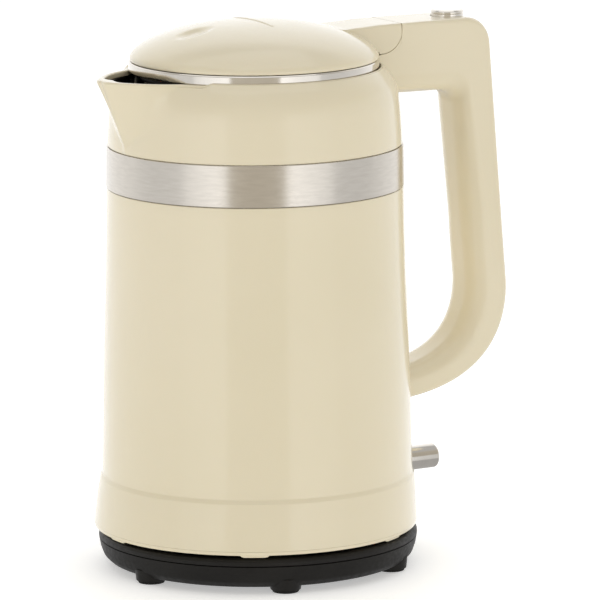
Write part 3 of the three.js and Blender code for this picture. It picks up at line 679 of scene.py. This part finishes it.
def handle_lines():
    """Matching points on the handle's outside and inside lines, with the outer edges' radius."""
    end = 90 + math.degrees(math.asin((HANDLE_TOP - PIVOT_Z) / CUP))
    corner = HANDLE_REACH - 22.9
    elbow, low_wall, low_root = (HANDLE_REACH, GRIP_LOW), (82.3, 75.9), (66, 73.4)
    outside = [(ROOT, 246.6), (PIVOT_X, PIVOT_Z - CUP)]
    outside += arc(PIVOT_X, PIVOT_Z, CUP, -90, end - 90, 16)[1:]
    inside = straight((ROOT, 226.6), (72, 226.5), len(outside) - 1)
    radii = [0.3] * len(outside)
    top = straight(outside[-1], (corner, HANDLE_TOP), 14)
    outside += [(top[0][0] + 0.35, top[0][1])] + top[1:]
    inside += [inside[-1]] + straight(inside[-1], (101, 226), 14)[1:]
    radii += [0.9] + [lerp(1.2, GRIP_EDGE, k / 14) for k in range(1, 15)]
    outside += arc(corner, HANDLE_TOP - HEAD_CORNER, HEAD_CORNER, 90, 5, 14)[1:]
    inside += arc(101, 218.1, 8, 88, 3, 14)[1:]
    outside += straight(outside[-1], elbow, 26)[1:]
    inside += straight(inside[-1], (116.2, 130), 26)[1:]
    outside += bezier(elbow, (HANDLE_REACH + 0.4, 100), (118, 80.5), low_wall, 26)[1:]
    inside += bezier((116.2, 130), (116.5, 107), (103, 94), (77, 90.5), 26)[1:]
    outside += straight(low_wall, low_root, 6)[1:]
    inside += straight((77, 90.5), (66, 88), 6)[1:]
    radii += [GRIP_EDGE] * (len(outside) - len(radii))
    return outside, inside, radii


def across(half, out, inn):
    """Half a section of (depth, y) points, mirrored and laid from the outside line inwards."""
    depth = math.dist(out, inn)
    direction = ((inn[0] - out[0]) / depth, (inn[1] - out[1]) / depth)
    both = half + [(d, -y) for d, y in reversed(half[1:-1])]
    return [(out[0] + direction[0] * d, y, out[1] + direction[1] * d) for d, y in both]


def handle_ring(out, inn, radius, recess=0.0):
    """The handle's section between a point on its outside line and one on its inside line."""
    depth = math.dist(out, inn)
    soft = min(GRIP_ROUND, 0.55 * depth)
    line = straight((depth, 0), (depth, HALF_WIDTH - soft), 3)[:-1]
    line += [(depth - soft * (1 - math.cos(a)), HALF_WIDTH - soft * (1 - math.sin(a)))
             for a in (math.pi / 2 * k / 14 for k in range(15))]
    line += straight(line[-1], (radius, HALF_WIDTH), 3)[1:-1]
    line += bend((radius, HALF_WIDTH), (0, HALF_WIDTH), (0, HALF_WIDTH - radius), 8)
    return across(line + [(0, STRIP_HALF), (recess, STRIP_HALF), (recess, 0)], out, inn)


def build_handle():
    """The handle, with a well for the button and a recess for the strip on its back."""
    outside, inside, radii = handle_lines()
    low, high = (corner.z for corner in in_mm("handle_back_strip"))
    held = [x > BUTTON_X and low <= z <= high for x, z in outside]
    rings, strip = [], []
    for i, (out, inn, radius) in enumerate(zip(outside, inside, radii)):
        plain = handle_ring(out, inn, radius)
        if not held[i]:
            rings.append(plain)
            continue
        rings += [] if held[i - 1] else [plain]
        rings.append(handle_ring(out, inn, radius, STRIP_DEPTH))
        rings += [] if held[i + 1] else [plain]
        strip.append((out, inn))
    rings[0] = [(x - ROOT + math.sqrt(ROOT ** 2 - y * y), y, z) for x, y, z in rings[0]]
    handle = make("handle_skin", [loft(rings)], 38)
    well = rod(BUTTON_RADIUS + 0.3, BUTTON_LOW.z - 3, 280, 72, (BUTTON_X, 0))
    carve(handle, make("button_well", [well]), sharp=38)
    settle(handle, "kettle", MATERIALS["cream_plastic"], "cream_plastic", "handle_shell")
    build_back_strip(strip)


def build_back_strip(pairs):
    """The inlaid strip down the handle's back, between pairs of points on the handle's lines."""
    side, far = STRIP_HALF - 0.35, STRIP_DEPTH - 0.1
    rings = []
    for k, (out, inn) in enumerate(pairs):
        near = 0.02 + (0.5 if k in (0, len(pairs) - 1) else 0)
        half = eased([(far, 0, 0), (far, side, 0), (near, side, 0.4), (near, 0, 0)], False)
        rings.append(across(half, out, inn))
    strip = make("handle_strip_skin", [loft(rings)])
    settle(strip, "kettle", MATERIALS["cream_plastic"], "cream_plastic", "handle_back_strip")


def build_button():
    """A bright cap with a fine groove round it."""
    low, top, r = BUTTON_LOW.z, BUTTON_HIGH.z - BUTTON_DROP, BUTTON_RADIUS
    profile = eased([(6.4, low, 0), (r, low, 0.3), (r, top - 2, 0.12), (r - 0.3, top - 1.8, 0.1),
                     (r, top - 1.6, 0.12), (r, top - 0.8, 0.5), (r - 0.8, top - 0.2, 0.6),
                     (0, top, 0), (0, top - 1.3, 0), (6.4, top - 1.3, 0)])
    button = make("button_cap", [lathe(profile, 96, (BUTTON_X, 0))])
    settle(button, "button", MATERIALS["chrome"], "chrome", "release_button")


def build_spring():
    """The coil under the button."""
    low, high = in_mm("button_spring")
    wire = 0.4
    radius = (high.x - low.x) / 2 - wire
    rings = []
    for k in range(145):
        c, s = math.cos(TAU * k / 48), math.sin(TAU * k / 48)
        z = lerp(low.z + wire, high.z - wire, k / 144)
        rings.append([(BUTTON_X + (radius + u) * c, (radius + u) * s, z + v)
                      for u, v in arc(0, 0, wire, 0, 315, 7)])
    coil = make("button_coil", [loft(rings)], 50)
    settle(coil, "kettle", MATERIALS["spring_steel"], "spring_steel", "button_spring")
    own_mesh(coil)


# ---------- Lid ----------

def dome_height(r, radius=LID_RADIUS, rise=DOME_RISE):
    """Height of the dome at a distance from its middle."""
    share = max(0.0, 1 - (r / radius) ** 2)
    return LID_SHOULDER + rise * share ** DOME_POWER


def dimple_depth(x, y):
    """A shallow oval hollow for a thumb, towards the spout."""
    reach = math.hypot((x + 33) / 11, y / 8)
    return 1.5 * smooth((1 - reach) / 0.75) if reach < 1 else 0.0


def dome_parts():
    """The dome's outside as a fine disc, and its wall underneath."""
    stops = [LID_RADIUS * math.sin(math.pi / 2 * k / 90) for k in range(91)]
    outer = [(r, dome_height(r)) for r in stops]
    edge = [(LID_RADIUS, LID_SHOULDER - 0.4), (LID_RADIUS - 0.1, LID_EDGE + 0.15),
            (LID_RADIUS - 0.5, LID_EDGE)]
    wall = 2.4
    under = [(LID_RADIUS - wall, LID_EDGE)]
    under += [(r * (LID_RADIUS - wall) / LID_RADIUS,
               dome_height(r * (LID_RADIUS - wall) / LID_RADIUS, LID_RADIUS - wall, DOME_RISE - wall))
              for r in stops[-2::-6]] + [(0, LID_SHOULDER + DOME_RISE - wall)]
    profile = outer + edge + under
    rings = []
    for k in range(256):
        c, s = math.cos(TAU * k / 256), math.sin(TAU * k / 256)
        ring = []
        for i, (r, z) in enumerate(profile):
            x, y = r * c, r * s
            ring.append((x, y, z - (dimple_depth(x, y) if i < len(outer) else 0)))
        rings.append(ring)
    return loft(rings, closed_path=True)


def arm_top(x):
    """Height of the lid arm's flat top."""
    return lerp(HANDLE_TOP - 1, HANDLE_TOP, clamp((x - 40) / 24))


def arm_bottom(x):
    """Height of the lid arm's underside, which runs round the hinge at its end."""
    if x < PIVOT_X:
        return LID_EDGE if x < 61.6 else PIVOT_Z - ARM_ROUND
    return PIVOT_Z - math.sqrt(max(ARM_ROUND ** 2 - (x - PIVOT_X) ** 2, 0))


def arm_ring(x):
    """The lid arm's section at one X: a flat top, eased edges, and feet that flare onto the dome."""
    side = HALF_WIDTH
    on_dome = math.hypot(x, side) < LID_RADIUS - 0.05

    def top(y):
        return soft_max(arm_top(x), dome_height(math.hypot(x, y)), 1.2) if x < 62 else arm_top(x)
    ground = dome_height(math.hypot(x, side)) if on_dome else arm_bottom(x)
    crown = top(side)
    height = max(crown - ground, 0.02)
    ease = min(1.7, 0.45 * height)
    foot = max(min(3.2, 0.45 * height) * clamp((59.2 - x) / 3), 0.01)
    spread = dome_height(math.hypot(x, side + foot)) if on_dome else ground
    half = [(y, top(y)) for y in (lerp(0, side - ease, k / 8) for k in range(8))]
    half += bend((side - ease, top(side - ease)), (side, crown), (side, crown - ease), 6)
    half += bend((side, ground + foot), (side, ground), (side + foot, spread - 0.03), 7)
    return [(x, y, z) for y, z in half] + [(x, -y, z) for y, z in reversed(half[1:])]


def arm_parts():
    """The lid's arm, from under the dome's skin to its round end about the hinge."""
    stops = [ARM_START + 0.6 * k for k in range(47)] + [62.2, 62.8, PIVOT_X]
    stops += [PIVOT_X + ARM_END * math.sin(math.pi / 2 * k / 14) for k in range(1, 15)]
    return loft([arm_ring(x) for x in stops])


def mark_parts():
    """The plain raised bar across the top of the dome."""
    rings = []
    for k in range(49):
        y = lerp(-19.4, 19.4, k / 48)
        rise = 0.4 * math.sqrt(1 - (abs(k - 24) / 24.001) ** 8)
        line = bend((-1.1, -0.05), (-1, rise), (0, rise), 4)
        line += bend((0, rise), (1, rise), (1.1, -0.05), 4)[1:]
        rings.append([(x, y, dome_height(math.hypot(x, y)) + z) for x, z in line])
    return loft(rings)


def build_lid():
    """The dome with its arm and mark as one moulding, and the bright ring below it."""
    lid = make("lid_skin", [dome_parts(), arm_parts(), mark_parts()], 60)
    settle(lid, "lid", MATERIALS["cream_plastic"], "cream_plastic", "lid_cover")
    low, high = (corner.z for corner in in_mm("lid_trim_ring"))
    low, high = low - 0.6, high + 0.3
    profile = eased([(57.2, low, 0), (60.4, low, 0.2), (60.8, low + 0.5, 0.3),
                     (60.8, high - 0.6, 0.5), (60.2, high, 0.3), (57.2, high, 0)])
    ring = make("lid_ring_skin", [lathe(profile, 256, (-0.3, 0))])
    settle(ring, "lid", MATERIALS["chrome"], "chrome", "lid_trim_ring")


def build_lid_inside():
    """The steel plate under the dome, pierced for its screws and for steam, and its gasket."""
    low, high = (corner.z for corner in in_mm("lid_inner_plate"))
    profile = eased([
        (0, low, 0), (53.4, low, 1.2), (53.6, low + 3.5, 0.2), (52.6, low + 3.7, 0.1),
        (52.6, low + 6.3, 0.1), (54, low + 6.5, 0.2), (54.4, low + 8.5, 0.2), (56.8, low + 8.5, 0.2),
        (56.8, high, 0), (54.2, high, 0), (51, low + 8.5, 0), (51, low + 2.5, 0), (0, low + 2.5, 0)])
    plate = make("lid_plate_skin", [lathe(profile, 192)])
    holes = []
    for k in range(3):
        screw_low, screw_high = in_mm(f"lid_screw_{k + 1}")
        middle = (screw_low + screw_high) / 2
        holes.append(rod(1.7, low - 6, low + 6, 32, (middle.x, middle.y)))
    holes += [rod(2, low - 6, low + 6, 32, (46, y)) for y in (-9, 0, 9)]
    carve(plate, make("lid_plate_holes", holes))
    settle(plate, "lid", MATERIALS["stainless"], "stainless", "lid_inner_plate")
    low, high = (corner.z for corner in in_mm("lid_gasket"))
    lips = eased([(53, low + 0.4, 0), (55.6, low, 0.3), (56.2, low + 1.2, 0.4), (55.6, high, 0.3),
                  (53, high - 0.4, 0)])
    gasket = make("lid_gasket_skin", [lathe(lips, 192)])
    settle(gasket, "lid", DARK_SEAL, "silicone", "lid_gasket")


# ---------- Lever and power base ----------

def build_lever():
    """The bright round bar under the handle."""
    profile = eased([(0, 74, 0), (LEVER_RADIUS, 74, 0), (LEVER_RADIUS, LEVER_TIP, 1.4),
                     (0, LEVER_TIP, 0)])
    lever = make("lever_bar", [along_x(lathe(profile, 96), LEVER_Z - LEVER_DROP)])
    settle(lever, "lever", MATERIALS["chrome"], "chrome", "power_lever")


def foot_points():
    """The middles of the feet, where the mounts are."""
    return [((m["pos_m"][0] - AXIS_X) / MM, m["pos_m"][1] / MM)
            for m in frame["record"]["mounts"]]


def build_base():
    """The tray with its foot bosses, the cover with its hole for the post, and the rubber pads."""
    black, rubber = MATERIALS["black_plastic"], MATERIALS["rubber"]
    tray_profile = eased([
        (0, 2.3, 0), (68, 2.3, 4), (73, 3.4, 4), (75.8, 6.2, 4), (77.2, 10.2, 4), (77.9, 14, 0.3),
        (75.4, 14, 0), (74.8, 10.5, 0), (73, 7.4, 0), (70.5, 5.8, 0), (0, 5.8, 0)])
    bosses = [lathe(eased([(0, 1.25, 0), (7.4, 1.25, 0.4), (8, 7, 0), (0, 7, 0)]), 40, at)
              for at in foot_points()]
    tray = make("base_tray_skin", [lathe(tray_profile, 240)] + bosses)
    gland_z = (in_mm("cord_gland")[0].z + in_mm("cord_gland")[1].z) / 2
    carve(tray, make("gland_hole", [along_x(rod(4.7, 60, 82), gland_z)]))
    settle(tray, "power_base", black, "black_plastic", "base_tray")
    cover_profile = eased([
        (24, 16, 0), (74.8, 16, 0), (75.6, 14.4, 0), (78, 14.4, 0.3), (77.9, 16.2, 0.6),
        (77.2, 17.5, 0.6), (75.8, 18.2, 0.6), (17.6, 18.2, 0.4), (17.6, 14.6, 0), (19.8, 14.6, 0),
        (19.8, 16, 0)])
    cover = make("base_cover_skin", [lathe(cover_profile, 240)])
    settle(cover, "power_base", black, "black_plastic", "base_cover")
    pad = eased([(0, 0, 0), (6.3, 0, 0.4), (6.6, 0.9, 0), (0, 0.9, 0)])
    for k, at in enumerate(foot_points(), 1):
        foot = make(f"foot_pad_{k}", [lathe(pad, 40, at)])
        settle(foot, "power_base", rubber, "rubber", f"base_foot_{k}")


# ---------- Inside ----------

def build_vessel():
    """The steel vessel, with the notch in its mouth where the spout begins."""
    profile = eased([
        (0.2, 56, 0), (56, 56, 1), (59.2, 57.4, 2), (60.2, 61, 2), (60.2, 226, 4), (58.3, 236, 4),
        (58.3, 243, 0.2), (57.3, 243, 0.2), (57.3, 236, 4), (59.2, 226, 4), (59.2, 61.4, 2),
        (58.6, 58.6, 1), (55.6, 57, 1), (0.2, 57, 0)])
    profile = divided(profile + profile[:1], 5)[:-1]
    rings = []
    for k in range(161):
        ring = []
        for r, z in profile:
            start = channel_edge(z, CHANNEL_INNER) if z > NOTCH_LOW else 0.0
            turn = lerp(start, TAU - start, k / 160)
            ring.append(at_turn(turn, r, z))
        rings.append(ring)
    vessel = make("vessel_skin", [loft(rings)], 40)
    settle(vessel, "kettle", VESSEL_STEEL, "stainless", "inner_vessel")


# ---------- Camera, light and floor ----------

# The camera's angles are in degrees, its distances in metres and its lens in millimetres.
BEARING, PITCH, ROLL = 60, 10.24, 0.38
DISTANCE, AIM_HEIGHT = 3.0, 0.1375
AIM_RIGHT, AIM_DOWN = 0.02133, 0.0075
LENS = 369.66


def build_camera():
    """A long lens, a little above the kettle, with the spout to the left and the handle right."""
    bearing, pitch, roll = math.radians(BEARING), math.radians(PITCH), math.radians(ROLL)
    right = Vector((math.sin(bearing), -math.cos(bearing), 0))
    ahead = Vector((math.cos(bearing) * math.cos(pitch), math.sin(bearing) * math.cos(pitch),
                    -math.sin(pitch)))
    up = right.cross(ahead)
    target = Vector((AXIS_X, 0, AIM_HEIGHT))
    data = bpy.data.cameras.new("camera")
    data.lens, data.sensor_width = LENS, 36
    data.clip_start, data.clip_end = 0.05, 50
    camera = bpy.data.objects.new("camera", data)
    bpy.context.scene.collection.objects.link(camera)
    place = target - ahead * DISTANCE + right * AIM_RIGHT - up * AIM_DOWN
    side = right * math.cos(roll) - up * math.sin(roll)
    top = up * math.cos(roll) + right * math.sin(roll)
    turn = Matrix((side, top, -ahead)).transposed().to_4x4()
    camera.matrix_world = Matrix.Translation(place) @ turn
    bpy.context.scene.camera = camera
    return ahead, target


def soft_box(name, place, target, width, height, watts):
    """A flat panel of light turned to the kettle."""
    data = bpy.data.lights.new(name, "AREA")
    data.shape, data.size, data.size_y = "RECTANGLE", width, height
    data.energy = watts
    light = bpy.data.objects.new(name, data)
    bpy.context.scene.collection.objects.link(light)
    light.location = place
    light.rotation_mode = "QUATERNION"
    light.rotation_quaternion = (target - place).to_track_quat("-Z", "Y")
    light.visible_camera = False


# The studio round the kettle: the bearing from the camera in degrees, positive to its right, and
# the brightness there. Two tall panels stand either side of a dim gap around the camera. Above
# them the room is dim in front and bright behind.
WALLS = [(-180, 1.26), (-145, 1.12), (-115, 0.98), (-85, 0.8), (-57, 0.85), (-55.5, 1.05),
         (-22, 1.4), (-20.5, 0.62), (23.5, 0.62), (25, 1.42), (63, 1.0), (64.5, 0.76), (95, 0.76),
         (120, 0.96), (145, 1.12), (180, 1.26)]
ABOVE = [(-180, 1.24), (-140, 1.1), (-100, 0.6), (-60, 0.5), (60, 0.5), (100, 0.6), (140, 1.1),
         (180, 1.24)]
WALL_TINT = (1.0, 0.93, 0.8)      # the walls are warm where they are dimmer than WARM_BELOW
WARM_BELOW = 0.7
WALL_PEAK = 1.5
CEILING = 0.56
GROUND = 0.5


def bearing_ramp(tree, sweep, levels):
    """The colour of one zone of the studio at each bearing."""
    ramp = add_node(tree, "ShaderNodeValToRGB")
    stops = ramp.color_ramp.elements
    for degrees, _ in levels[1:-1]:
        stops.new(0.5 + degrees / 360)
    for stop, (_, level) in zip(stops, levels):
        tint = WALL_TINT if level < WARM_BELOW else (1, 1, 1)
        stop.color = (*(level * c / WALL_PEAK for c in tint), 1)
    tree.links.new(sweep, ramp.inputs["Fac"])
    return ramp.outputs["Color"]


def studio_walls(tree, bearing):
    """Light from all round whose brightness changes with direction, as in a photo studio."""
    place = add_node(tree, "ShaderNodeTexCoord").outputs["Generated"]
    turn = add_node(tree, "ShaderNodeVectorRotate", rotation_type="Z_AXIS")
    turn.inputs["Angle"].default_value = math.pi - bearing
    tree.links.new(place, turn.inputs["Vector"])
    sweep = add_node(tree, "ShaderNodeTexGradient", gradient_type="RADIAL")
    tree.links.new(turn.outputs["Vector"], sweep.inputs["Vector"])
    parts = add_node(tree, "ShaderNodeSeparateXYZ")
    tree.links.new(place, parts.inputs["Vector"])

    def rising(low, high, start, end):
        """One zone below and another above, blended between two heights of the direction."""
        height = add_node(tree, "ShaderNodeMapRange", interpolation_type="SMOOTHSTEP")
        height.inputs["From Min"].default_value = start
        height.inputs["From Max"].default_value = end
        tree.links.new(parts.outputs["Z"], height.inputs["Value"])
        blend = add_node(tree, "ShaderNodeMix", data_type="RGBA")
        tree.links.new(height.outputs["Result"], blend.inputs["Factor"])
        for key, colour in (("A", low), ("B", high)):
            if isinstance(colour, bpy.types.NodeSocket):
                tree.links.new(colour, blend.inputs[key])
            else:
                blend.inputs[key].default_value = (*[colour / WALL_PEAK] * 3, 1)
        return blend.outputs["Result"]
    walls = bearing_ramp(tree, sweep.outputs["Fac"], WALLS)
    above = bearing_ramp(tree, sweep.outputs["Fac"], ABOVE)
    walls = rising(GROUND, walls, -0.36, -0.28)
    return rising(rising(walls, above, 0.21, 0.26), CEILING, 0.62, 0.8)


def build_studio(ahead, target):
    """The light from above and all round, and a white backdrop behind the kettle."""
    soft_box("top_box", target + Vector((0, 0, 1.5)), target, 1.6, 1.6, 4.5)
    world = bpy.data.worlds.new("studio")
    world.use_nodes = True
    tree = world.node_tree
    walls = tree.nodes["Background"]
    tree.links.new(studio_walls(tree, math.atan2(ahead.y, ahead.x)), walls.inputs["Color"])
    walls.inputs["Strength"].default_value = WALL_PEAK
    backdrop = tree.nodes.new("ShaderNodeBackground")
    backdrop.inputs["Color"].default_value = (1, 1, 1, 1)
    path = tree.nodes.new("ShaderNodeLightPath")
    mix = tree.nodes.new("ShaderNodeMixShader")
    tree.links.new(path.outputs["Is Camera Ray"], mix.inputs["Fac"])
    tree.links.new(walls.outputs["Background"], mix.inputs[1])
    tree.links.new(backdrop.outputs["Background"], mix.inputs[2])
    tree.links.new(mix.outputs["Shader"], tree.nodes["World Output"].inputs["Surface"])
    bpy.context.scene.world = world
    bpy.context.scene.view_settings.view_transform = "Standard"
    bpy.context.scene.view_settings.look = "None"


def build_floor():
    """A large pale sheet that the base stands on."""
    m = Nodes("pale_floor")
    m.set(Base_Color=m.tint(m.span(m.noise(3), 0, 1), (0.9, 0.9, 0.89, 1), (0.93, 0.93, 0.92, 1)),
          Roughness=0.7)
    m.set(Emission_Color=(1, 1, 1, 1), Emission_Strength=0.42)
    points = [(x, y, -0.01) for x, y in ((-4000, -4000), (4000, -4000), (4000, 4000), (-4000, 4000))]
    floor = make("floor", [(points, [(0, 1, 2, 3)])])
    floor.data.materials.append(m.material)
    floor.visible_glossy = False


dress_frame()
build_shell()
build_liner()
build_band()
build_foot_ring()
build_handle()
build_button()
build_spring()
build_lid()
build_lid_inside()
build_lever()
build_base()
build_vessel()
build_floor()
build_studio(*build_camera())
